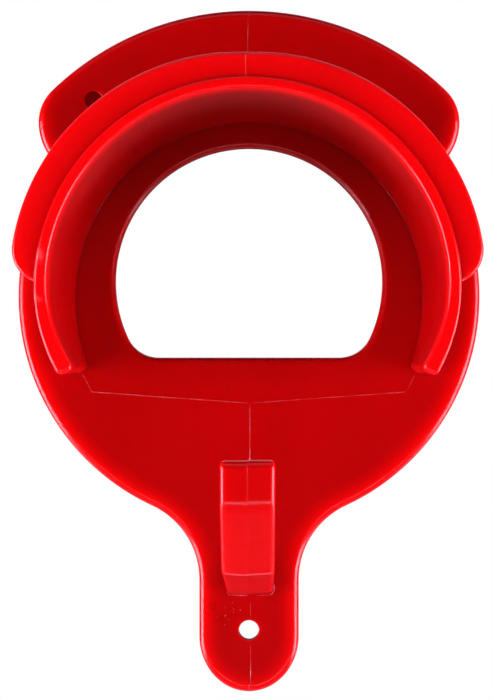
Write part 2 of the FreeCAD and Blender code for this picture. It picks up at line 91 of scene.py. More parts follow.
OPENING_RADIUS = 48.9
OPENING_CENTRE = 127.3
OPENING_FLOOR = 99.6
OPENING_CORNER = 12.5
OPENING_EDGE = 2.2
LEDGE = (28.5, 66.0)  # the stretch of the opening's edge where the mould left a small lip
LEDGE_FADE = 28.0  # how many degrees before its upper end the lip starts to die out
LEDGE_LIFT = {1: 0.03, 2: 0.26, 3: 0.08}  # its height on each row over the rounded edge

TAB_HOLE = (0.0, 0.0, 3.65)
WING_HOLE = (-56.8, 193.8, 3.2)
HOLE_EDGE = 0.3
HOLE_SKIN = 0.7  # a skin this far from the back closes the upper hole and carries painted shade, standing in for the shade seen through it

EDGE_GLOW = 0.6  # how much painted glow, for the light that enters the plate's edge, shows beside it
RING_CLEAR = 0.5  # the room that this light's rings leave beside a raised mark
GLOW_FADE = ((1.0, 0.8), (2.2, 0.5), (3.7, 0.22), (5.4, 0.0))  # what is left, by distance inwards
GLOW_LOSS = 0.85  # how much less painted glow there is where the edge faces up

SADDLE_HALF_ANGLE = 114.5
SADDLE_ROOT = 63.3  # radius of the inner face where it leaves the plate
SADDLE_MOUTH = 65.3  # and at the front
RIM_GLOW_FROM = 71.0  # depth at which the free rim starts to get a painted glow, for the light it lets through
RIM_GLOW_FULL = 2.0  # how far behind the front the rim's painted glow is full
RIM_INSIDE = 1.2
RIM_OUTSIDE = 1.0
INNER_FILLET = 0.12
END_FROM = 80  # degrees from the top where the wall starts to gain
END_THICKER = 1.6  # how much it gains inwards at the free ends, at the mouth
END_ROUND = 4.0  # the stretch behind the front in which the free ends are set back
END_SETBACK = 1.3
CURL_FROM = 90  # degrees from the top where the shell starts to bend
CURL_MOUTH = -1.8  # how far the free ends bend at the mouth; minus is inwards
CURL_ROOT = 0.8
SCARS = ((170.4, 79.6, 1.5, 0.7), (182.3, 79.6, 0.8, 0.35))  # angle, depth, half width, strength
SCAR_HALF_DEPTH = 1.2
SCAR_BAND = 1.6  # only this much of the wall, from its outer face, is scuffed
SCAR_BUMP = 0.05

FLANGE_RADIUS = 74.0
FLANGE_OFFSET = 3.2
FLANGE_RISE = 3.05
FLANGE_CORNER = 11.0
FLANGE_CORNER_X = 65.4
FLANGE_EDGE = 1.3
FLANGE_BLEND = 0.35  # hollow between the flange's face and the rim
FLANGE_BLEND_FADE = 1.8
FLANGE_EDGE_LIGHT = 0.85  # painted glow of the flange at its outer edge
FLANGE_FOOT_LIGHT = 0.55  # and beside the rim

HOOK_THICKNESS = 6.0
HOOK_HEEL = (61.0, 27.4)
HOOK_KNEE = (86.0, 52.0)
OUTER_BENDS = (5.0, 9.0)  # radii at the heel and the knee
INNER_BENDS = (3.0, 3.0)
HOOK_EDGE = 1.8
TIP_ROUND = 2.8
TIP_CORNER = 1.7
HOOK_DRAFT = 0.5  # how much thinner the strap is at its sides than at the parting line
HOOK_TAPER = 0.09  # how much narrower its left half is at the foot
HOOK_STEP = 0.2  # how much lower its left half sits, since the mould's halves don't quite meet
HOOK_LIGHT = 0.5  # painted glow over the whole strap
FOOT_SLOPE = 0.25  # about how much the arm rises for each millimetre outwards
TIP_INSET = 0.05  # room for the raised line within the hook's depth

LINE_WIDTH = 0.42  # the raised witness lines that the mould leaves
LINE_HEIGHT = 0.13
LINE_STEP = 1.3
CREST_HEIGHT = LINE_HEIGHT * 0.8  # the same line over the plate's edge and along the hook
FLANGE_LINE_HEIGHT = LINE_HEIGHT * 0.75
FLANGE_LINE_X = -0.7
# painted highlight on the flange's parting line
FLANGE_LINE_PALE = 0.3
LINE_PALE = 4  # painted highlight on a raised mark, for each millimetre of its height
LIP_PALE = 3.5  # the same on a rounded edge
EMBED = 0.4  # how far one region's mesh reaches into its neighbour
WELD = 0.002  # vertices closer than this are one
SMOOTH_ANGLE = 32.0  # an edge sharper than this shows as a crease
ARC_TURN = 7.0  # the most that an arc turns from one station to the next


# ---------------------------------------------------------------------------------------------
# Mesh helpers


def frame_point(x, depth, z):
    """A place in the frame, from millimetres to the right, out from the wall, and up."""
    return Vector((x * MM, -depth * MM, z * MM))


def polar(centre, radius, degrees):
    angle = math.radians(degrees)
    return (centre[0] + radius * math.cos(angle), centre[1] + radius * math.sin(angle))


def angle_of(centre, target):
    return math.degrees(math.atan2(target[1] - centre[1], target[0] - centre[0]))


def arc(centre, radius, start, end, step=1.6, hollow=False):
    """Stations (x, z, normal x, normal z) on an arc, its last point left to the next stretch."""
    length = abs(math.radians(end - start)) * radius
    count = max(2, math.ceil(length / step), math.ceil(abs(end - start) / ARC_TURN))
    sign = -1.0 if hollow else 1.0
    stations = []
    for i in range(count):
        degrees = start + (end - start) * i / count
        x, z = polar(centre, radius, degrees)
        nx, nz = polar((0, 0), sign, degrees)
        stations.append((x, z, nx, nz))
    return stations


def straight(start, end, normal, step=2.0):
    """The same on a straight line."""
    count = max(1, math.ceil(math.dist(start, end) / step))
    stations = []
    for i in range(count):
        t = i / count
        x = start[0] + (end[0] - start[0]) * t
        z = start[1] + (end[1] - start[1]) * t
        stations.append((x, z, *normal))
    return stations


def offset_loop(stations, inset):
    return [(x - nx * inset, z - nz * inset) for x, z, nx, nz in stations]


def inside(points, loop):
    """Even-odd test of many points against one closed loop."""
    points = np.asarray(points)
    a = np.asarray(loop)
    b = np.roll(a, -1, axis=0)
    found = np.zeros(len(points), bool)
    for (ax, ay), (bx, by) in zip(a, b):
        if ay == by:
            continue
        crosses = (ay > points[:, 1]) != (by > points[:, 1])
        found ^= crosses & (points[:, 0] < (bx - ax) * (points[:, 1] - ay) / (by - ay) + ax)
    return found


def distance_to_loop(points, loop):
    """How far each point is from the nearest of the loop's own points."""
    points = np.asarray(points)
    loop = np.asarray(loop)
    return np.min(np.linalg.norm(points[:, None, :] - loop[None, :, :], axis=2), axis=1)


class Shell:
    """A mesh under construction; each vertex has wear, scuffs and painted highlights, painted glow
    and painted shade, from 0 to 1.
    """

    def __init__(self, name):
        self.name = name
        self.points, self.faces = [], []
        self.wear, self.scuff, self.thin, self.grime = [], [], [], []

    def add(self, point, wear=0.0, scuff=0.0, thin=0.0, grime=0.0):
        self.points.append(point)
        self.wear.append(wear)
        self.scuff.append(scuff)
        self.thin.append(thin)
        self.grime.append(grime)
        return len(self.points) - 1

    def loft(self, rows):
        """Quads between each closed row of vertices and the next; all have the same length."""
        for first, second in zip(rows, rows[1:]):
            for i in range(len(first)):
                j = (i + 1) % len(first)
                self.faces.append((first[i], first[j], second[j], second[i]))

    def make(self, material, replaces):
        mesh = bpy.data.meshes.new(self.name)
        mesh.from_pydata(self.points, [], self.faces)
        layers = {
            "edge_wear": self.wear,
            "scuff": self.scuff,
            "thin": self.thin,
            "grime": self.grime,
        }
        for label, values in layers.items():
            layer = mesh.attributes.new(label, "FLOAT", "POINT")
            layer.data.foreach_set("value", np.array(values, np.float32))
        bm = bmesh.new()
        bm.from_mesh(mesh)
        bmesh.ops.remove_doubles(bm, verts=bm.verts, dist=WELD * MM)
        bmesh.ops.recalc_face_normals(bm, faces=bm.faces)
        if bm.calc_volume(signed=True) < 0:
            bmesh.ops.reverse_faces(bm, faces=bm.faces)
        bm.to_mesh(mesh)
        bm.free()
        mesh.shade_smooth()
        mesh.set_sharp_from_angle(angle=math.radians(SMOOTH_ANGLE))
        piece = bpy.data.objects.new(self.name, mesh)
        bpy.context.collection.objects.link(piece)
        mesh.materials.append(material)
        weighted = piece.modifiers.new("face_weighted_shading", "WEIGHTED_NORMAL")
        weighted.keep_sharp = True
        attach(piece, "root")
        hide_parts(replaces)


# ---------------------------------------------------------------------------------------------
# Wall plate


def plate_outline():
    """Stations round the plate, anticlockwise from the bottom of the tab."""
    disc, tab, wing = (0, AXIS_HEIGHT), (0, TAB_END), (0, WING_CENTRE)
    blend_x = TAB_HALF + TAB_BLEND
    blend = (blend_x, disc[1] - math.sqrt((DISC_RADIUS + TAB_BLEND) ** 2 - blend_x**2))
    tip_x = WING_HALF - WING_TIP
    tip = (tip_x, wing[1] + math.sqrt((WING_RADIUS - WING_TIP) ** 2 - tip_x**2))
    heel = (WING_HALF - WING_HEEL, tip[1])
    to_disc, to_heel = DISC_RADIUS + WING_NOTCH, WING_HEEL + WING_NOTCH
    apart = math.dist(disc, heel)
    along = (apart**2 + to_disc**2 - to_heel**2) / (2 * apart)
    notch_angle = angle_of(disc, heel) - math.degrees(math.acos(along / to_disc))
    notch = polar(disc, to_disc, notch_angle)
    half = LINE_WIDTH / 2
    tab_top = tab[1] + TAB_HALF * (TAB_STRETCH - 1)
    right = []
    for x, z, nx, nz in arc(tab, TAB_HALF, -90 + math.degrees(half / TAB_HALF), 0, step=1.2):
        slant = math.hypot(nx, nz / TAB_STRETCH)
        z = tab_top + (z - tab[1]) * TAB_STRETCH
        right.append((x, z, nx / slant, nz / TAB_STRETCH / slant))
    right += straight((TAB_HALF, tab_top), (TAB_HALF, blend[1]), (1.0, 0.0))
    right += arc(blend, TAB_BLEND, 180, angle_of(blend, disc), hollow=True)
    right += arc(disc, DISC_RADIUS, angle_of(disc, blend), angle_of(disc, notch))
    notch_start = angle_of(notch, disc) + 360
    right += arc(notch, WING_NOTCH, notch_start, angle_of(notch, heel), 0.6, True)
    right += arc(heel, WING_HEEL, angle_of(heel, notch), 0)
    right += arc(tip, WING_TIP, 0, angle_of(wing, tip))
    end = 90 - math.degrees(half / WING_RADIUS)
    right += arc(wing, WING_RADIUS, angle_of(wing, tip), end)
    right.append((*polar(wing, WING_RADIUS, end), *polar((0, 0), 1.0, end)))
    left = [(-x, z, -nx, nz) for x, z, nx, nz in reversed(right)]
    top = (0.0, wing[1] + WING_RADIUS, 0.0, 1.0)
    bottom = (0.0, tab[1] - TAB_HALF, 0.0, -1.0)
    return [bottom] + right + [top] + left


def opening_outline():
    """Stations round the D opening; their normals point into the opening."""
    centre = (0, OPENING_CENTRE)
    corner_z = OPENING_FLOOR + OPENING_CORNER
    reach = OPENING_RADIUS - OPENING_CORNER
    corner_x = math.sqrt(reach**2 - (corner_z - centre[1]) ** 2)
    low = angle_of(centre, (corner_x, corner_z))
    stations = arc(centre, OPENING_RADIUS, low, 180 - low, 1.2, True)
    stations += arc((-corner_x, corner_z), OPENING_CORNER, 180 - low, 270, 1.0, True)
    floor = [(-corner_x, OPENING_FLOOR), (corner_x, OPENING_FLOOR)]
    stations += straight(*floor, (0.0, 1.0), 1.6)
    stations += arc((corner_x, corner_z), OPENING_CORNER, -90, low, 1.0, True)
    return stations


def hole_outline(hole):
    """Stations round a screw hole, given as (x, z, radius)."""
    return arc(hole[:2], hole[2], 0, 360, 0.45, True)


class Relief:
    """Witness lines and specks on the plate's front, as points for the flat face's triangles."""

    def __init__(self):
        self.points, self.heights, self.edges = [], [], []

    def add(self, x, z, height):
        self.points.append((x, z))
        self.heights.append(height)
        return len(self.points) - 1

    def join(self, row, closed=False):
        pairs = list(zip(row, row[1:]))
        if closed:
            pairs.append((row[-1], row[0]))
        self.edges += pairs

    def line(self, corners, width, height, seed, gaps):
        """A low ridge along a polyline, uneven in height, with dips where the mould closed well."""
        draw = random.Random(seed)
        route = []
        for start, end in zip(corners, corners[1:]):
            count = max(2, round(math.dist(start, end) / LINE_STEP))
            for i in range(count):
                t = i / count
                x, z = (start[k] + (end[k] - start[k]) * t for k in (0, 1))
                route.append((x, z))
        route.append(corners[-1])
        sides = [[], [], []]
        phase = draw.uniform(0, 6.28)
        for i, (x, z) in enumerate(route):
            before, after = route[max(i - 1, 0)], route[min(i + 1, len(route) - 1)]
            length = math.dist(before, after)
            across = ((before[1] - after[1]) / length, (after[0] - before[0]) / length)
            swell = 0.75 + 0.25 * math.sin(phase + i * 0.7) + draw.uniform(-0.18, 0.18)
            if draw.random() < gaps:
                swell *= 0.25
            at_end = i in (0, len(route) - 1)
            lift = 0.0 if at_end else height * swell
            half = width / 2 * (0.25 if at_end else 0.8 + 0.2 * swell)
            sides[0].append(self.add(x + across[0] * half, z + across[1] * half, 0.0))
            sides[1].append(self.add(x, z, lift))
            sides[2].append(self.add(x - across[0] * half, z - across[1] * half, 0.0))
        for row in sides:
            self.join(row)
        for end in (0, -1):
            self.join([sides[0][end], sides[1][end], sides[2][end]])

    def speck(self, x, z, size, height):
        ring = [self.add(*polar((x, z), size, 60 * k), 0.0) for k in range(6)]
        self.join(ring, closed=True)
        self.add(x, z, height)


def within_face(points, outlines):
    """True for the points inside the first outline and outside the others."""
    keep = inside(points, outlines[0])
    for outline in outlines[1:]:
        keep &= ~inside(points, outline)
    return keep


def flat_face(shell, depth, loops, relief, grid, clear, rings=()):
    """Fills the face between an outer loop and holes with an even mesh; loops are vertex rows.

    grid is the mesh's width, and clear the room it leaves beside loops, relief and rings. rings
    are points (x, z, thin), which carry the painted glow for light that shines through
    near an edge.
    """
    points, owners, edges = [], [], []
    outlines = []
    for row in loops:
        first = len(points)
        outline = [(shell.points[v].x / MM, shell.points[v].z / MM) for v in row]
        points += outline
        owners += list(row)
        count = len(row)
        edges += [(first + i, first + (i + 1) % count) for i in range(count)]
        outlines.append(outline)
    if relief:
        first = len(points)
        for (x, z), height in zip(relief.points, relief.heights):
            # raised lines and specks get a painted highlight, paler the higher they stand
            pale = min(1.0, LINE_PALE * height)
            points.append((x, z))
            owners.append(shell.add(frame_point(x, depth + height, z), scuff=pale))
        edges += [(first + a, first + b) for a, b in relief.edges]
    ring_points, marked = [], np.array(relief.points) if relief else None
    # these rings carry the painted glow inside the plate's edge
    for x, z, thin in rings:
        if not relief or np.min(np.hypot(*(marked - (x, z)).T)) > RING_CLEAR:
            ring_points.append((x, z))
            points.append((x, z))
            owners.append(shell.add(frame_point(x, depth, z), thin=thin))
    low, high = np.min(outlines[0], axis=0), np.max(outlines[0], axis=0)
    xs = np.arange(low[0] + grid / 2, high[0], grid)
    zs = np.arange(low[1] + grid / 2, high[1], grid)
    spots = np.array([(x, z) for x in xs for z in zs])
    spots = spots[within_face(spots, outlines)]
    for outline in outlines:
        spots = spots[distance_to_loop(spots, outline) > clear]
    if relief:
        spots = spots[distance_to_loop(spots, relief.points) > clear]
    if ring_points:
        spots = spots[distance_to_loop(spots, ring_points) > clear]
    for x, z in spots:
        points.append((x, z))
        owners.append(shell.add(frame_point(x, depth, z)))
    corners = [Vector(p) for p in points]
    made, _, faces, origin, _, _ = delaunay_2d_cdt(corners, edges, [], 1, 1e-5)
    centres = np.array([np.mean([made[v] for v in face], axis=0) for face in faces])
    lookup = []
    for i, sources in enumerate(origin):
        if sources:
            lookup.append(owners[sources[0]])
        else:
            lookup.append(shell.add(frame_point(made[i].x, depth, made[i].y)))
    for face, wanted in zip(faces, within_face(centres, outlines)):
        if wanted:
            shell.faces.append(tuple(lookup[v] for v in face))


def plate_relief():
    """The mould's marks on the plate's front face."""
    relief = Relief()
    core_side, core_low, core_mid = (61.1, 94.2), (57.4, 87.1), 83.0
    core_left = [(-core_side[0], core_side[1]), (-core_low[0], core_low[1]), (-0.1, core_mid)]
    core_right = [core_side, core_low, (0.9, core_mid)]
    disc_line = [(0.35, core_mid - 0.7), (0.35, 22.5)]
    above_hole, below_hole = [(0.55, 11.0), (0.55, 4.6)], [(0.6, -4.9), (0.6, -20.8)]
    wing_line = [(-0.4, 193.5), (-0.4, 225.2)]
    foot_left = [(-8.4, 14.3), (-7.4, 13.1), (-4.0, 12.8), (-0.2, 12.75)]
    foot_right = [(2.4, 12.75), (6.4, 12.8), (8.3, 13.3), (9.2, 14.6), (9.3, 17.3)]
    # corners, width, height, seed, and how often the ridge dips
    for corners, width, height, seed, gaps in (
        (core_left, 0.40, 0.12, 3, 0.12),
        (core_right, 0.40, 0.10, 4, 0.25),
        (disc_line, LINE_WIDTH, LINE_HEIGHT, 5, 0.0),
        (above_hole, LINE_WIDTH, 0.10, 6, 0.0),
        (below_hole, LINE_WIDTH, LINE_HEIGHT, 7, 0.0),
        (wing_line, 0.36, 0.10, 8, 0.1),
        (foot_left, 0.40, 0.22, 9, 0.0),
        (foot_right, 0.36, 0.22, 10, 0.25),
    ):
        relief.line(corners, width, height, seed, gaps)
    draw = random.Random(21)
    # how many specks are tried; those out of place are left out
    tab_specks, disc_specks, wing_specks = 14, 26, 22
    for _ in range(tab_specks):
        x, z = draw.gauss(-9.0, 3.6), draw.gauss(7.5, 3.2)
        if math.hypot(x, z) > 6 and abs(x) < 14 and z < 11:
            relief.speck(x, z, draw.uniform(0.16, 0.34), draw.uniform(0.08, 0.20))
    for _ in range(disc_specks):
        x, z = draw.uniform(-40, 40), draw.uniform(30, 78)
        if abs(x) > 11 and math.hypot(x, z - AXIS_HEIGHT) < DISC_RADIUS - 5:
            relief.speck(x, z, draw.uniform(0.12, 0.24), draw.uniform(0.03, 0.08))
    for _ in range(wing_specks):
        x, z = draw.uniform(-50, 44), draw.uniform(202, 222)
        if abs(x) > 2 and math.hypot(x, z - WING_CENTRE) < WING_RADIUS - 4:
            relief.speck(x, z, draw.uniform(0.12, 0.26), draw.uniform(0.04, 0.10))
    return relief


def rounded_rows(shell, stations, radius, steps, wear, lift, thin):
    """Vertex rows over a front edge of the plate, from the flat face to the side wall.

    lift gives the height of a raised mark at a station and a row.
    """
    rows = []
    for k in range(steps + 1):
        a = math.pi / 2 * k / steps
        inset, back = radius * (1 - math.sin(a)), radius * (1 - math.cos(a))
        row = []
        for i, (x, z, nx, nz) in enumerate(stations):
            raised = lift(i, k)
            out = raised * math.sin(a) - inset
            depth = PLATE_THICKNESS - back + raised * math.cos(a)
            # the opening's raised lip gets a painted highlight; the rounded edge gets the painted
            # glow, less where it faces up
            pale = 0.0 if k == 0 else min(1.0, LIP_PALE * raised)
            place = frame_point(x + nx * out, depth, z + nz * out)
            row.append(shell.add(place, wear * math.sin(a), pale, thin * side_share(nz)))
        rows.append(row)
    return rows


def edge_rings(stations, edge, glow):
    """Rows inside an edge that carry a painted glow, for light that came in through it, fading
    inwards.
    """
    rings = []
    for inset, share in GLOW_FADE:
        for x, z, nx, nz in stations[:: 1 if share else 2]:
            reach = edge + inset
            rings.append((x - nx * reach, z - nz * reach, glow * share * side_share(nz)))
    return rings


def side_share(nz):
    """How much painted glow there is: less where the edge faces up."""
    return 1.0 - GLOW_LOSS * max(0.0, nz) ** 0.6


def rear_rows(shell, stations):
    """Vertex rows over a rear edge of the plate, from the side wall to the flat rear."""
    rows = []
    for inset, depth in ((0.0, REAR_EDGE), (0.3 * REAR_EDGE, 0.3 * REAR_EDGE), (REAR_EDGE, 0.0)):
        outline = offset_loop(stations, inset)
        rows.append([shell.add(frame_point(x, depth, z), wear=0.4) for x, z in outline])
    return rows


def blind_floor(shell, stations):
    """The one vertex row at the bottom of a hole that doesn't go through, painted dark as shade."""
    return [[shell.add(frame_point(x, HOLE_SKIN, z), grime=1.0) for x, z, _, _ in stations]]


def build_wall_plate(material):
    shell = Shell("wall_plate_moulding")
    front_loops, rear_loops = [], []
    outline, opening = plate_outline(), opening_outline()
    crest = {0, next(i for i, s in enumerate(outline) if s[0] == 0.0 and s[1] > AXIS_HEIGHT)}

    def no_lift(i, k):
        return 0.0

    def parting_lift(i, k):
        return CREST_HEIGHT if i in crest else 0.0

    def ledge_lift(i, k):
        turn = angle_of((0, OPENING_CENTRE), opening[i][:2])
        if not LEDGE[0] < turn < LEDGE[1]:
            return 0.0
        return LEDGE_LIFT.get(k, 0.0) * min(1.0, (LEDGE[1] - turn) / LEDGE_FADE)

    # stations, radius of the edge, steps over it, wear, lift, glow, and whether it is blind
    for stations, radius, steps, wear, lift, glow, blind in (
        (outline, PLATE_EDGE, 8, 1.0, parting_lift, EDGE_GLOW, False),
        (opening, OPENING_EDGE, 7, 0.8, ledge_lift, 0.0, False),
        (hole_outline(TAB_HOLE), HOLE_EDGE, 3, 0.3, no_lift, 0.0, False),
        (hole_outline(WING_HOLE), HOLE_EDGE, 3, 0.3, no_lift, 0.0, True),
    ):
        front = rounded_rows(shell, stations, radius, steps, wear, lift, glow)
        rear = blind_floor(shell, stations) if blind else rear_rows(shell, stations)
        shell.loft(front + rear)
        front_loops.append(front[0])
        if blind:
            shell.faces.append(tuple(rear[-1]))
        else:
            rear_loops.append(rear[-1])
    # painted glow inside the plate's outer edge
    rings = edge_rings(outline, PLATE_EDGE, EDGE_GLOW)
    relief = plate_relief()
    flat_face(shell, PLATE_THICKNESS, front_loops, relief, grid=3.0, clear=1.1, rings=rings)
    flat_face(shell, 0.0, rear_loops, None, grid=5.0, clear=1.8)
    shell.make(material, "wall_plate")


# ---------------------------------------------------------------------------------------------
# Saddle arch


def inner_at(depth):
    """Radius of the saddle's inner face, which widens towards the front."""
    slope = (SADDLE_MOUTH - SADDLE_ROOT) / (SADDLE_FRONT - PLATE_THICKNESS)
    return SADDLE_ROOT + slope * (depth - PLATE_THICKNESS)


def saddle_section():
    """The shell's section round a closed loop: (radius, depth, edge wear), at the top."""
    root = PLATE_THICKNESS - EMBED
    loop = [(SADDLE_ROOT - INNER_FILLET, root, 0.0)]
    for k in range(5):
        a = math.pi / 2 * k / 4
        radius = SADDLE_ROOT - INNER_FILLET * (1 - math.sin(a))
        loop.append((radius, PLATE_THICKNESS + INNER_FILLET * (1 - math.cos(a)), 0.0))
    count = 22
    first, last = PLATE_THICKNESS + INNER_FILLET, SADDLE_FRONT - RIM_INSIDE
    for k in range(1, count):
        depth = first + (last - first) * k / count
        loop.append((inner_at(depth), depth, 0.0))
    for k in range(10):
        a = math.pi / 2 * k / 9
        radius = inner_at(last) + RIM_INSIDE * (1 - math.cos(a))
        loop.append((radius, last + RIM_INSIDE * math.sin(a), 0.3 + 0.7 * math.sin(2 * a)))
    for k in range(1, 10):
        a = math.pi / 2 * k / 9
        radius = SADDLE_OUTER - RIM_OUTSIDE * (1 - math.sin(a))
        depth = SADDLE_FRONT - RIM_OUTSIDE * (1 - math.cos(a))
        loop.append((radius, depth, 0.8 * math.sin(2 * a)))
    count = 18
    first, last = SADDLE_FRONT - RIM_OUTSIDE, PLATE_THICKNESS + ROOT_FILLET
    for k in range(1, count):
        loop.append((SADDLE_OUTER, first + (last - first) * k / count, 0.0))
    for k in range(6):
        a = math.pi / 2 * k / 5
        radius = SADDLE_OUTER + ROOT_FILLET * (1 - math.cos(a))
        loop.append((radius, last - ROOT_FILLET * math.sin(a), 0.0))
    loop.append((SADDLE_OUTER + ROOT_FILLET, root, 0.0))
    return loop


def front_share(depth):
    """From 0 at the plate to 1 at the saddle's front."""
    return (depth - PLATE_THICKNESS) / (SADDLE_FRONT - PLATE_THICKNESS)


def curl(turn, depth):
    """How far the shell bends outwards (plus) or inwards where it hangs below its axis."""
    below = max(abs(turn) - CURL_FROM, 0.0) / (SADDLE_HALF_ANGLE - CURL_FROM)
    return (CURL_ROOT + (CURL_MOUTH - CURL_ROOT) * front_share(depth)) * below**1.6


def thicker(turn, depth, radius):
    """How far the inner side moves inwards, towards the free ends; the outer side stays."""
    below = max(abs(turn) - END_FROM, 0.0) / (SADDLE_HALF_ANGLE - END_FROM)
    inwards = min(1.0, max(0.0, (SADDLE_OUTER - radius) / (SADDLE_OUTER - SADDLE_MOUTH)))
    return END_THICKER * front_share(depth) * inwards * below**1.3


def scar_at(degrees, radius, depth):
    """How much the rim is scuffed at a place on it."""
    total = 0.0
    for at, scar_depth, size, strength in SCARS:
        across = math.radians((degrees - at) % 360) * radius
        across = min(across, 2 * math.pi * radius - across)
        behind = (depth - scar_depth) / SCAR_HALF_DEPTH
        total += strength * math.exp(-((across / size) ** 2) - behind**2)
    return total


def build_saddle_arch(material):
    shell = Shell("saddle_arch_moulding")
    section = saddle_section()
    sweep, cap_steps = 176, 7

    def ring(turn, cap, side):
        """One section at `turn` degrees from the top; cap runs from 0 to 1 over the rounded end."""
        row = []
        shrink, push = math.cos(cap * math.pi / 2), math.sin(cap * math.pi / 2)
        share = abs(turn) / SADDLE_HALF_ANGLE
        for radius, depth, wear in section:
            inner = inner_at(depth)
            middle, half = (inner + SADDLE_OUTER) / 2, (SADDLE_OUTER - inner) / 2
            r = middle + (radius - middle) * shrink
            bent = r + curl(turn, depth) - thicker(turn, depth, radius)
            back = math.copysign(share * math.degrees(half / middle), turn)
            degrees = 90 - turn + back - side * math.degrees(half * push / middle)
            near_front = max(0.0, (depth - (SADDLE_FRONT - END_ROUND)) / END_ROUND)
            moved = depth - END_SETBACK * (1 - shrink) * near_front
            scarred = radius > SADDLE_OUTER - SCAR_BAND
            scuff = scar_at(degrees, r, moved) if scarred else 0.0
            x, z = polar((0, AXIS_HEIGHT), bent + SCAR_BUMP * scuff, degrees)
            # painted glow on the free rim's front, for the light that passes through it
            thin = (depth - RIM_GLOW_FROM) / (SADDLE_FRONT - RIM_GLOW_FULL - RIM_GLOW_FROM)
            thin = min(1.0, max(0.0, thin))
            worn = max(wear, 0.8 * push)
            row.append(shell.add(frame_point(x, moved, z), worn, min(scuff, 1), thin))
        return row

    rows = [ring(-SADDLE_HALF_ANGLE, k / cap_steps, -1) for k in range(cap_steps, 0, -1)]
    for k in range(sweep + 1):
        rows.append(ring(-SADDLE_HALF_ANGLE + 2 * SADDLE_HALF_ANGLE * k / sweep, 0.0, 1))
    rows += [ring(SADDLE_HALF_ANGLE, k / cap_steps, 1) for k in range(1, cap_steps + 1)]
    shell.loft(rows)
    for row in (rows[0], rows[-1]):
        close_fold(shell, row)
    shell.make(material, "saddle_arch")


def close_fold(shell, row):
    """Closes a ring that has been folded flat, between its two sides; its length is even."""
    last = len(row) - 1
    for i in range(len(row) // 2 - 1):
        shell.faces.append((row[i], row[i + 1], row[last - 1 - i], row[last - i]))


# ---------------------------------------------------------------------------------------------
# Retaining flange


def flange_outline():
    """Stations of the flange's outer edge, from its right end over the top to its left end."""
    main = (FLANGE_OFFSET, AXIS_HEIGHT + FLANGE_RISE)
    reach = FLANGE_RADIUS - FLANGE_CORNER
    corner_z = main[1] + math.sqrt(reach**2 - (FLANGE_CORNER_X - main[0]) ** 2)
    corner = (FLANGE_CORNER_X, corner_z)
    axis = (0, AXIS_HEIGHT)
    apart = math.dist(axis, corner)
    along = (apart**2 + SADDLE_OUTER**2 - FLANGE_CORNER**2) / (2 * apart)
    swing = math.degrees(math.acos(along / SADDLE_OUTER))
    meet = polar(axis, SADDLE_OUTER, angle_of(axis, corner) - swing)
    top = (0, main[1] + math.sqrt(FLANGE_RADIUS**2 - main[0] ** 2))
    right = arc(corner, FLANGE_CORNER, angle_of(corner, meet), angle_of(main, corner), 0.5)
    right += arc(main, FLANGE_RADIUS, angle_of(main, corner), angle_of(main, top), 1.3)
    left = [(-x, z, -nx, nz) for x, z, nx, nz in reversed(right)]
    return right + [(*top, 0.0, 1.0)] + left


def rim_blend(radius, lift):
    """The hollow from the flange's front face up on to the saddle's rim, as (radius, depth)."""
    rim = (SADDLE_OUTER - RIM_OUTSIDE, SADDLE_FRONT - RIM_OUTSIDE)
    height = FLANGE_FRONT + radius
    overlap, tuck = 0.02, (0.5, 0.6)  # how far it goes into the rim, and then on underneath it
    reach = RIM_OUTSIDE + radius - overlap
    centre = (rim[0] + math.sqrt(reach**2 - (height - rim[1]) ** 2), height)
    meeting = math.atan2(rim[1] - centre[1], rim[0] - centre[0]) % (2 * math.pi)
    points = []
    for k in range(7):
        t = k / 6
        a = 1.5 * math.pi + (meeting - 1.5 * math.pi) * t
        place = (centre[0] + radius * math.cos(a), centre[1] + radius * math.sin(a))
        points.append((place[0], place[1] + lift * (1 - t)))
    points.append((place[0] - tuck[0], place[1] - tuck[1]))
    return points


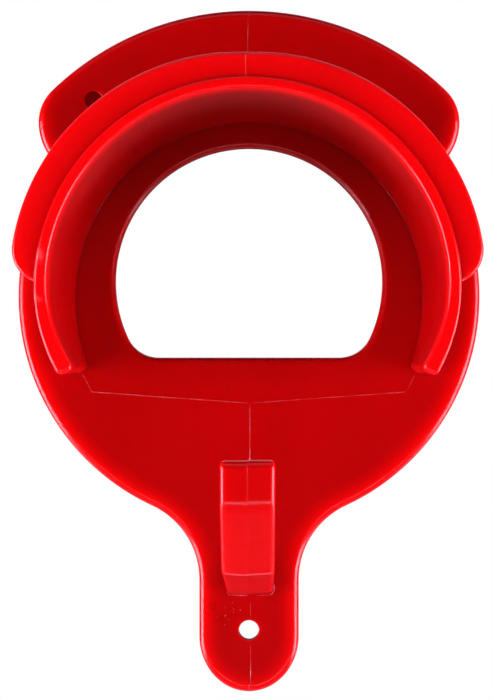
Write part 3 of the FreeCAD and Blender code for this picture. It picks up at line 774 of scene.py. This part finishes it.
def build_retaining_flange(material):
    shell = Shell("retaining_flange_moulding")
    axis = (0, AXIS_HEIGHT)
    hidden = SADDLE_OUTER - EMBED
    stations = flange_outline()
    # the parting line takes the place of the stations beside it
    top, line_clear = stations[len(stations) // 2][1], 0.6
    stations = [s for s in stations if abs(s[0] - FLANGE_LINE_X) > line_clear]
    for x in (FLANGE_LINE_X - LINE_WIDTH / 2, FLANGE_LINE_X, FLANGE_LINE_X + LINE_WIDTH / 2):
        stations.append((x, top, 0.0, 1.0))
    stations.sort(key=lambda s: -math.atan2(s[0], s[1] - AXIS_HEIGHT))
    rows = []
    for x, z, nx, nz in stations:
        turn = angle_of(axis, (x, z))
        width = math.dist(axis, (x, z)) - hidden
        edge = min(FLANGE_EDGE, 0.8 * width)
        on_line = x == FLANGE_LINE_X
        lift = FLANGE_LINE_HEIGHT if on_line else 0.0
        blend = FLANGE_BLEND * min(1.0, (width - EMBED) / FLANGE_BLEND_FADE)
        section = []
        for k in range(5):
            a = math.pi / 2 * k / 4
            back = FLANGE_BACK + edge * (1 - math.cos(a))
            section.append((edge * (1 - math.sin(a)), back, 0.7))
        for k in range(7):
            a = math.pi / 2 * (1 - k / 6)
            wear = 0.5 + 0.5 * math.sin(2 * a)
            front = FLANGE_FRONT - edge * (1 - math.cos(a)) + lift * math.cos(a)
            section.append((edge * (1 - math.sin(a)) - lift * math.sin(a), front, wear))
        row = []
        for inset, depth, wear in section:
            px, pz = x - nx * inset, z - nz * inset
            # the parting line gets a painted highlight; the flange's edge and foot get a painted
            # glow
            mark = FLANGE_LINE_PALE if on_line and depth > FLANGE_FRONT - 0.5 else 0.0
            row.append(shell.add(frame_point(px, depth, pz), wear, mark, FLANGE_EDGE_LIGHT))
        for radius, depth in rim_blend(blend, lift) + [(hidden, FLANGE_BACK)]:
            px, pz = polar(axis, radius, turn)
            mark = FLANGE_LINE_PALE if on_line and depth > FLANGE_FRONT else 0.0
            row.append(shell.add(frame_point(px, depth, pz), 0.0, mark, FLANGE_FOOT_LIGHT))
        rows.append(row)
    shell.loft(rows)
    shell.faces += [tuple(rows[0]), tuple(rows[-1])]
    shell.make(material, "retaining_flange")


# ---------------------------------------------------------------------------------------------
# Hook


def rounded_path(corners, radii, runs, turns):
    """Points along a polyline whose inner corners are rounded, with fixed counts per stretch."""
    cuts, arcs = [corners[0]], []
    for before, corner, after, radius in zip(corners, corners[1:], corners[2:], radii):
        first = math.atan2(corner[1] - before[1], corner[0] - before[0])
        second = math.atan2(after[1] - corner[1], after[0] - corner[0])
        cut = radius * math.tan((second - first) / 2)
        start = (corner[0] - cut * math.cos(first), corner[1] - cut * math.sin(first))
        centre = (start[0] - radius * math.sin(first), start[1] + radius * math.cos(first))
        arcs.append((centre, radius, first, second))
        cuts += [start, (corner[0] + cut * math.cos(second), corner[1] + cut * math.sin(second))]
    cuts.append(corners[-1])
    points = []
    for i, count in enumerate(runs):
        start, end = cuts[2 * i], cuts[2 * i + 1]
        for k in range(count):
            t = k / count
            points.append(tuple(start[j] + (end[j] - start[j]) * t for j in (0, 1)))
        if i < len(arcs):
            centre, radius, first, second = arcs[i]
            for k in range(turns):
                heading = first + (second - first) * k / turns
                out, up = radius * math.sin(heading), radius * math.cos(heading)
                points.append((centre[0] + out, centre[1] - up))
    points.append(corners[-1])
    return points


def offset_corner(start, corner, end, distance):
    """The corner of the path that runs at a distance to the left of start, corner, end."""
    first = math.atan2(corner[1] - start[1], corner[0] - start[0])
    second = math.atan2(end[1] - corner[1], end[0] - corner[0])
    reach = distance / math.cos((second - first) / 2)
    towards = (first + second) / 2 + math.pi / 2
    return (corner[0] + reach * math.cos(towards), corner[1] + reach * math.sin(towards))


def strap_section():
    """The strap's section round a closed loop: (across, towards the outside, edge wear)."""
    half, line = HOOK_WIDTH / 2, LINE_WIDTH / 2
    flat = half - HOOK_EDGE
    across = [flat - t for t in (0.0, 2.0, 4.2, 6.2)] + [line, 0.0, -line]
    across += [-(flat - t) for t in (6.2, 4.2, 2.0)]
    thick = HOOK_THICKNESS / 2
    level = thick - HOOK_DRAFT - HOOK_EDGE
    loop = []
    for side in (1, -1):
        for x in across:
            if x == 0.0:
                loop.append((0.0, side * (thick + CREST_HEIGHT), 0.6))
            else:
                loop.append((side * x, side * (thick - HOOK_DRAFT * abs(x) / half), 0.0))
        for k in range(7):
            a = math.pi / 2 * k / 6
            x, out = flat + HOOK_EDGE * math.sin(a), level + HOOK_EDGE * math.cos(a)
            loop.append((-side * x, side * out, math.sin(2 * a)))
        for k in range(6):
            a = math.pi / 2 * k / 6
            x, out = flat + HOOK_EDGE * math.cos(a), level + HOOK_EDGE * math.sin(a)
            loop.append((-side * x, -side * out, math.sin(2 * a)))
    return loop


def hook_rows():
    """Sections of the whole strap, each a list of (x, depth, z, wear)."""
    foot = (PLATE_THICKNESS - EMBED, HOOK_FOOT_HEIGHT - EMBED * FOOT_SLOPE)
    tip = (HOOK_TIP[0] - TIP_INSET, HOOK_TIP[1] - TIP_ROUND)
    outer = [foot, HOOK_HEEL, HOOK_KNEE, tip]
    slope = math.atan2(HOOK_HEEL[1] - foot[1], HOOK_HEEL[0] - foot[0])
    inner = [
        (foot[0], foot[1] + HOOK_THICKNESS / math.cos(slope)),
        offset_corner(foot, HOOK_HEEL, HOOK_KNEE, HOOK_THICKNESS),
        offset_corner(HOOK_HEEL, HOOK_KNEE, tip, HOOK_THICKNESS),
        (tip[0] - HOOK_THICKNESS, tip[1]),
    ]
    runs, turns = (22, 12, 5), 9
    outside = rounded_path(outer, OUTER_BENDS, runs, turns)
    within = rounded_path(inner, INNER_BENDS, runs, turns)
    section = strap_section()
    half = HOOK_WIDTH / 2
    rows = []

    def add_row(out, into, squeeze, narrow, rise):
        middle = ((out[0] + into[0]) / 2, (out[1] + into[1]) / 2 + rise)
        thick = ((out[0] - into[0]) / HOOK_THICKNESS, (out[1] - into[1]) / HOOK_THICKNESS)
        at_foot = max(0.0, 1 - (middle[0] - PLATE_THICKNESS) / (HOOK_HEEL[0] - PLATE_THICKNESS))
        row = []
        for x, t, wear in section:
            level = t * squeeze
            side = x * (1 - narrow / half)
            drop = 0.0
            if x < -LINE_WIDTH / 4:
                side *= 1 - HOOK_TAPER * at_foot
                drop = HOOK_STEP
            depth = middle[0] + thick[0] * level
            height = middle[1] + thick[1] * level - drop
            row.append((side, depth, height, max(wear, 0.7 * (1 - squeeze))))
        rows.append(row)

    for out, into in zip(outside, within):
        add_row(out, into, 1.0, 0.0, 0.0)
    cap, flattest = 10, 0.02
    for k in range(1, cap + 1):
        a = math.pi / 2 * k / cap
        rise = TIP_ROUND * math.sin(a)
        into = max(0.0, (rise - TIP_ROUND + TIP_CORNER) / TIP_CORNER)
        narrow = TIP_CORNER * (1 - math.sqrt(1 - into**2))
        add_row(outside[-1], within[-1], max(math.cos(a), flattest), narrow, rise)
    return rows


def build_hook(material):
    """The arm and the tongue are cut from one strap, on the straight just before the heel."""
    rows = hook_rows()
    cut = 20  # the row where one ends and the other starts
    for name, node, part in (
        ("hook_arm_moulding", "hook_arm", rows[: cut + 1]),
        ("hook_tongue_moulding", "hook_tongue", rows[cut:]),
    ):
        shell = Shell(name)
        made = []
        for row in part:
            places = [(frame_point(x, depth, z), wear) for x, depth, z, wear in row]
            # the whole strap gets a painted glow
            made.append([shell.add(place, wear, thin=HOOK_LIGHT) for place, wear in places])
        shell.loft(made)
        shell.faces += [tuple(made[0]), tuple(made[-1])]
        shell.make(material, node)


# ---------------------------------------------------------------------------------------------
# Moulded plastic


# linear colours
DEEP_RED = (0.46, 0.0002, 0.0006, 1)
PLAIN_RED = (0.51, 0.0004, 0.0014, 1)
PALE_RED = (0.56, 0.002, 0.005, 1)
PAINTED_GLOW_RED = (1.0, 0.0006, 0.0018, 1)
HOLE_SHADE_RED = (0.26, 0.002, 0.035, 1)
RUBBED_RED = (0.90, 0.035, 0.045, 1)
SCUFF_AND_HIGHLIGHT_RED = (0.95, 0.42, 0.44, 1)


def red_plastic():
    material = bpy.data.materials.new("red_moulded_plastic")
    material.use_nodes = True
    nodes, links = material.node_tree.nodes, material.node_tree.links
    shader = nodes["Principled BSDF"]
    coords = nodes.new("ShaderNodeTexCoord")

    def noise(scale, detail, roughness, stretch=None):
        texture = nodes.new("ShaderNodeTexNoise")
        texture.inputs["Scale"].default_value = scale
        texture.inputs["Detail"].default_value = detail
        texture.inputs["Roughness"].default_value = roughness
        source = coords.outputs["Object"]
        if stretch:
            mapping = nodes.new("ShaderNodeMapping")
            mapping.inputs["Scale"].default_value = stretch
            mapping.inputs["Rotation"].default_value = (0.2, 0.7, 0.35)
            links.new(source, mapping.inputs["Vector"])
            source = mapping.outputs["Vector"]
        links.new(source, texture.inputs["Vector"])
        return texture.outputs["Fac"]

    def ramp(value, low, high, out_low=0.0, out_high=1.0):
        node = nodes.new("ShaderNodeMapRange")
        limits = {"From Min": low, "From Max": high, "To Min": out_low, "To Max": out_high}
        for key, number in limits.items():
            node.inputs[key].default_value = number
        links.new(value, node.inputs["Value"])
        return node.outputs["Result"]

    def mix(factor, first, second):
        node = nodes.new("ShaderNodeMix")
        node.data_type = "RGBA"
        # the sockets by number, since a Mix node has several of the same name
        for key, value in ((0, factor), (6, first), (7, second)):
            if isinstance(value, (tuple, float)):
                node.inputs[key].default_value = value
            else:
                links.new(value, node.inputs[key])
        return node.outputs[2]

    def maths(operation, first, second):
        node = nodes.new("ShaderNodeMath")
        node.operation = operation
        for i, value in enumerate((first, second)):
            if isinstance(value, float):
                node.inputs[i].default_value = value
            else:
                links.new(value, node.inputs[i])
        return node.outputs[0]

    def attribute(name):
        node = nodes.new("ShaderNodeAttribute")
        node.attribute_name = name
        return node.outputs["Fac"]

    # pigment: slow drift from the flow of the melt, with a finer mottle over it
    flow = ramp(noise(22.0, 3.0, 0.5, (1.0, 1.0, 0.45)), 0.35, 0.65)
    mottle = ramp(noise(420.0, 4.0, 0.6), 0.35, 0.7)
    base = mix(flow, DEEP_RED, PLAIN_RED)
    # painted shade: the bottom of the blind upper hole is painted dark maroon for the shade in it
    base = mix(maths("MULTIPLY", attribute("grime"), 0.9), base, HOLE_SHADE_RED)
    # painted glow: thin free-standing parts and the plate's edges are painted brighter, for the
    # light that passes through them
    lit = maths("MULTIPLY", attribute("thin"), ramp(flow, 0.0, 1.0, 0.9, 1.0))
    base = mix(lit, base, PAINTED_GLOW_RED)
    base = mix(maths("MULTIPLY", mottle, 0.18), base, PALE_RED)
    # rubbed edges and scuffs are a little paler; raised lines, specks and the opening's lip get
    # painted highlights the same way
    grit = ramp(noise(900.0, 3.0, 0.7), 0.45, 0.75)
    worn = maths("MULTIPLY", attribute("edge_wear"), maths("MULTIPLY", grit, 0.35))
    patchy = ramp(noise(1300.0, 2.0, 0.6), 0.3, 0.7, 0.2, 0.9)
    scuffs_and_highlights = maths("MULTIPLY", attribute("scuff"), patchy)
    base = mix(worn, base, RUBBED_RED)
    base = mix(maths("MULTIPLY", scuffs_and_highlights, 0.8), base, SCUFF_AND_HIGHLIGHT_RED)
    links.new(base, shader.inputs["Base Color"])

    # gloss: polished mould faces, hazier in patches, with fine scratches
    haze = ramp(noise(60.0, 4.0, 0.6), 0.35, 0.7, 0.16, 0.22)
    scratch = ramp(noise(260.0, 2.0, 0.5, (14.0, 1.0, 1.0)), 0.62, 0.72, 0.0, 0.06)
    rough = maths("ADD", haze, scratch)
    rough = maths("ADD", rough, maths("MULTIPLY", scuffs_and_highlights, 0.25))
    links.new(rough, shader.inputs["Roughness"])

    # relief: orange peel from the mould's polish, and the scratches
    peel = nodes.new("ShaderNodeBump")
    peel.inputs["Strength"].default_value = 0.25
    peel.inputs["Distance"].default_value = 0.00006
    links.new(noise(380.0, 2.0, 0.5), peel.inputs["Height"])
    fine = nodes.new("ShaderNodeBump")
    fine.inputs["Strength"].default_value = 0.06
    fine.inputs["Distance"].default_value = 0.00002
    links.new(scratch, fine.inputs["Height"])
    links.new(peel.outputs["Normal"], fine.inputs["Normal"])
    links.new(fine.outputs["Normal"], shader.inputs["Normal"])

    shader.inputs["IOR"].default_value = 1.50
    shader.inputs["Specular IOR Level"].default_value = 0.28
    shader.inputs["Subsurface Weight"].default_value = 0.9
    shader.inputs["Subsurface Radius"].default_value = (1.0, 0.06, 0.05)
    # light travels less far under the surface where the glow is painted, before it leaves
    links.new(ramp(attribute("thin"), 0.0, 1.0, 0.006, 0.0015), shader.inputs["Subsurface Scale"])
    return material


# ---------------------------------------------------------------------------------------------
# Studio: pale floor, soft lights, camera


CAMERA_PLACE = (3.7, 650.0, 104.2)
CAMERA_SHIFT = (-0.0173, -0.0071)
VIEW_HEIGHT = 257.4  # what the picture takes in from top to bottom, at the wall
SENSOR_WIDTH = 36.0
FLOOR_HEIGHT = -320.0
FLOOR_REACH = 0.6  # from its middle to its sides, in metres
FLOOR_GREY = 0.60
FLOOR_GLOW = 0.62  # what the floor adds to this where it is seen directly
ROOM_LIGHT = 0.025  # how much of the white room's light falls on the part
WHITE = (1, 1, 1, 1)
LIGHT_TINT = (1.0, 0.92, 1.12)
PART_MIDDLE, HOOK_MIDDLE = (0.0, -0.03, 0.105), (0.0, -0.06, 0.04)
# name, place, target, size, power and spread, in metres, watts and degrees
LIGHTS = (
    ("softbox_left", (-0.75, -0.24, -0.10), PART_MIDDLE, (0.62, 0.8), 4.6, 80),
    ("softbox_right", (0.75, -0.24, -0.10), PART_MIDDLE, (0.62, 0.8), 3.9, 80),
    ("softbox_low", (0.0, -0.66, -0.40), PART_MIDDLE, (1.2, 0.2), 1.3, 100),
    ("softbox_top", (0.0, -0.40, 0.85), PART_MIDDLE, (1.1, 0.5), 0.3, 90),
    ("softbox_rear", (0.0, 1.1, 0.8), PART_MIDDLE, (1.2, 0.8), 3.2, 180),
    ("low_left", (-0.42, 0.10, -0.27), HOOK_MIDDLE, (0.35, 0.35), 0.16, 90),
    ("low_right", (0.42, 0.10, -0.27), HOOK_MIDDLE, (0.35, 0.35), 0.14, 90),
    ("low_rear", (0.0, 0.12, -0.24), (0.0, -0.06, 0.03), (0.4, 0.12), 0.05, 120),
    ("backdrop", (0.0, 0.25, 0.08), (0.0, 0.0, 0.08), (1.6, 0.76), 0.06, 180),
)


def make_floor():
    mesh = bpy.data.meshes.new("studio_floor")
    bm = bmesh.new()
    bmesh.ops.create_grid(bm, x_segments=12, y_segments=12, size=FLOOR_REACH)
    bm.to_mesh(mesh)
    bm.free()
    floor = bpy.data.objects.new("studio_floor", mesh)
    floor.location = (0, 0, FLOOR_HEIGHT * MM)
    bpy.context.collection.objects.link(floor)
    material = bpy.data.materials.new("pale_floor")
    material.use_nodes = True
    shader = material.node_tree.nodes["Principled BSDF"]
    shader.inputs["Base Color"].default_value = (FLOOR_GREY, FLOOR_GREY, FLOOR_GREY, 1)
    shader.inputs["Roughness"].default_value = 0.7
    # seen directly, the floor is as pale as the white room; the part is lit by its plain grey
    nodes, links = material.node_tree.nodes, material.node_tree.links
    path = nodes.new("ShaderNodeLightPath")
    glow = nodes.new("ShaderNodeMath")
    glow.operation = "MULTIPLY"
    glow.inputs[1].default_value = FLOOR_GLOW
    links.new(path.outputs["Is Camera Ray"], glow.inputs[0])
    links.new(glow.outputs[0], shader.inputs["Emission Strength"])
    shader.inputs["Emission Color"].default_value = WHITE
    mesh.materials.append(material)


def soft_light(name, place, target, size, power, spread):
    lamp = bpy.data.lights.new(name, "AREA")
    lamp.color = LIGHT_TINT
    lamp.shape = "RECTANGLE"
    lamp.size, lamp.size_y = size
    lamp.energy = power
    lamp.spread = math.radians(spread)
    item = bpy.data.objects.new(name, lamp)
    item.location = place
    item.rotation_euler = (Vector(target) - Vector(place)).to_track_quat("-Z", "Y").to_euler()
    item.visible_camera = False
    bpy.context.collection.objects.link(item)


def make_world():
    """A room that is white to the camera and sheds hardly any light of its own."""
    world = bpy.data.worlds.new("white_studio")
    bpy.context.scene.world = world
    world.use_nodes = True
    nodes, links = world.node_tree.nodes, world.node_tree.links
    background = nodes["Background"]
    path = nodes.new("ShaderNodeLightPath")
    level = nodes.new("ShaderNodeMath")
    level.operation = "MAXIMUM"
    level.inputs[0].default_value = ROOM_LIGHT
    links.new(path.outputs["Is Camera Ray"], level.inputs[1])
    links.new(level.outputs[0], background.inputs["Strength"])
    background.inputs["Color"].default_value = WHITE


def make_camera():
    camera = bpy.data.cameras.new("camera")
    item = bpy.data.objects.new("camera", camera)
    item.location = frame_point(*CAMERA_PLACE)
    item.rotation_euler = (math.radians(90), 0, 0)
    camera.sensor_width = SENSOR_WIDTH
    camera.lens = camera.sensor_width * CAMERA_PLACE[1] / VIEW_HEIGHT
    camera.shift_x, camera.shift_y = CAMERA_SHIFT
    camera.clip_start, camera.clip_end = 0.05, 20.0
    bpy.context.collection.objects.link(item)
    bpy.context.scene.camera = item


plastic = red_plastic()
build_wall_plate(plastic)
build_saddle_arch(plastic)
build_retaining_flange(plastic)
build_hook(plastic)
make_floor()
make_world()
for light in LIGHTS:
    soft_light(*light)
make_camera()
bpy.context.scene.view_settings.view_transform = "Standard"
